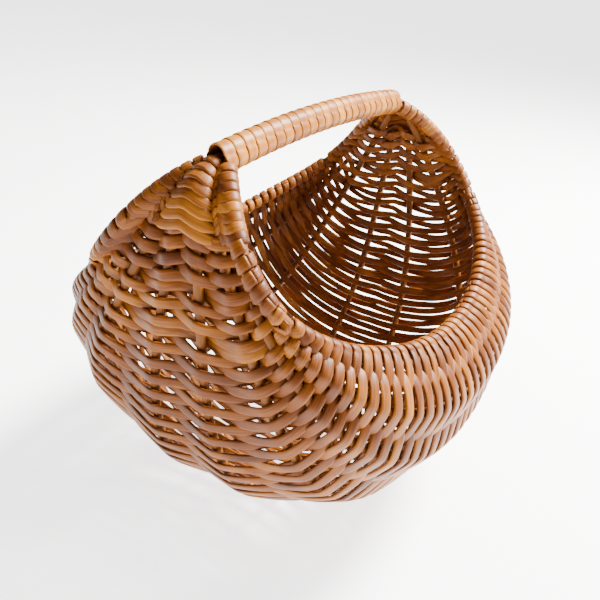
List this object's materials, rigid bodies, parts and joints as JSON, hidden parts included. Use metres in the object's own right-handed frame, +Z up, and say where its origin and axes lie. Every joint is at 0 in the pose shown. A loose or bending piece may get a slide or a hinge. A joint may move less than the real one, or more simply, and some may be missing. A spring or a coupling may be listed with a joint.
{
  "type": "egg collection basket",
  "caption": "Rib-framed woven willow basket with a hanging two-lobed belly, an arched wrapped handle and an open mouth each side, for carrying eggs.",
  "frame": {"origin": "on the floor under the middle of the basket, at the centre of its plan outline", "axes": "+Z up; X runs along the carrying handle; -Y and +Y face out of the two halves of the mouth"},
  "size_m": [0.2972, 0.282, 0.2738],
  "materials": {
    "willow_strand": "semi-gloss peeled and boiled willow, half-round strands",
    "ear_strand": "semi-gloss willow, wider strands",
    "rib_rod": "satin round willow rods",
    "hoop_rod": "satin bent round rods",
    "handle_splint": "semi-gloss flat splint, tightly wound"
  },
  "bodies": {
    "root": {"hoop_near": "hoop_rod", "hoop_far": "hoop_rod", "handle_core": "hoop_rod", "handle_wrap": "handle_splint", "rib_outer_near": "rib_rod", "rib_outer_far": "rib_rod", "rib_flank_near": "rib_rod", "rib_flank_far": "rib_rod", "rib_belly_near": "rib_rod", "rib_belly_far": "rib_rod", "rib_keel_near": "rib_rod", "rib_keel_far": "rib_rod", "weave_band_01": "willow_strand", "weave_band_02": "willow_strand", "weave_band_03": "willow_strand", "weave_band_04": "willow_strand", "weave_band_05": "willow_strand", "weave_band_06": "willow_strand", "weave_band_07": "willow_strand", "weave_band_08": "willow_strand", "weave_band_09": "willow_strand", "weave_band_10": "willow_strand", "weave_band_11": "willow_strand", "weave_band_12": "willow_strand", "weave_band_13": "willow_strand", "weave_band_14": "willow_strand", "ear_left": "ear_strand", "ear_right": "ear_strand"}
  },
  "joints": []
}
